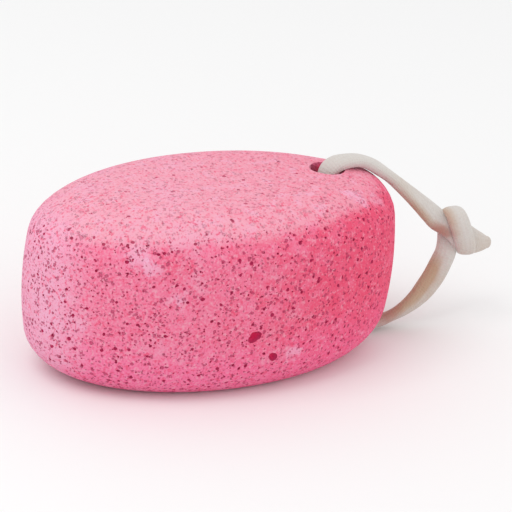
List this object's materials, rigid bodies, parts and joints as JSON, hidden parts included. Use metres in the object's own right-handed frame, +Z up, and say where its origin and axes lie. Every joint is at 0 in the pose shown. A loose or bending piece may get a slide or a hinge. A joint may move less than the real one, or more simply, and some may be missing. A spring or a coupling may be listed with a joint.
{
  "type": "pumice stone",
  "caption": "Oval foot pumice stone with rounded edges and a pitted surface, drilled near one end for a knotted cotton cord loop to hang it by.",
  "frame": {"origin": "middle of the stone's underside, on the surface that it rests on", "axes": "+X along the stone's length towards the drilled end and the cord, +Y across its width, +Z up"},
  "size_m": [0.1265, 0.056, 0.0488],
  "materials": {
    "pink_stone": "matt, porous, mottled pink with dark pits",
    "cream_cotton": "matt, soft cotton cord"
  },
  "bodies": {
    "root": {"pumice_stone": "pink_stone", "cord_loop": "cream_cotton", "cord_knot": "cream_cotton", "cord_end_front": "cream_cotton", "cord_end_back": "cream_cotton"}
  },
  "joints": []
}
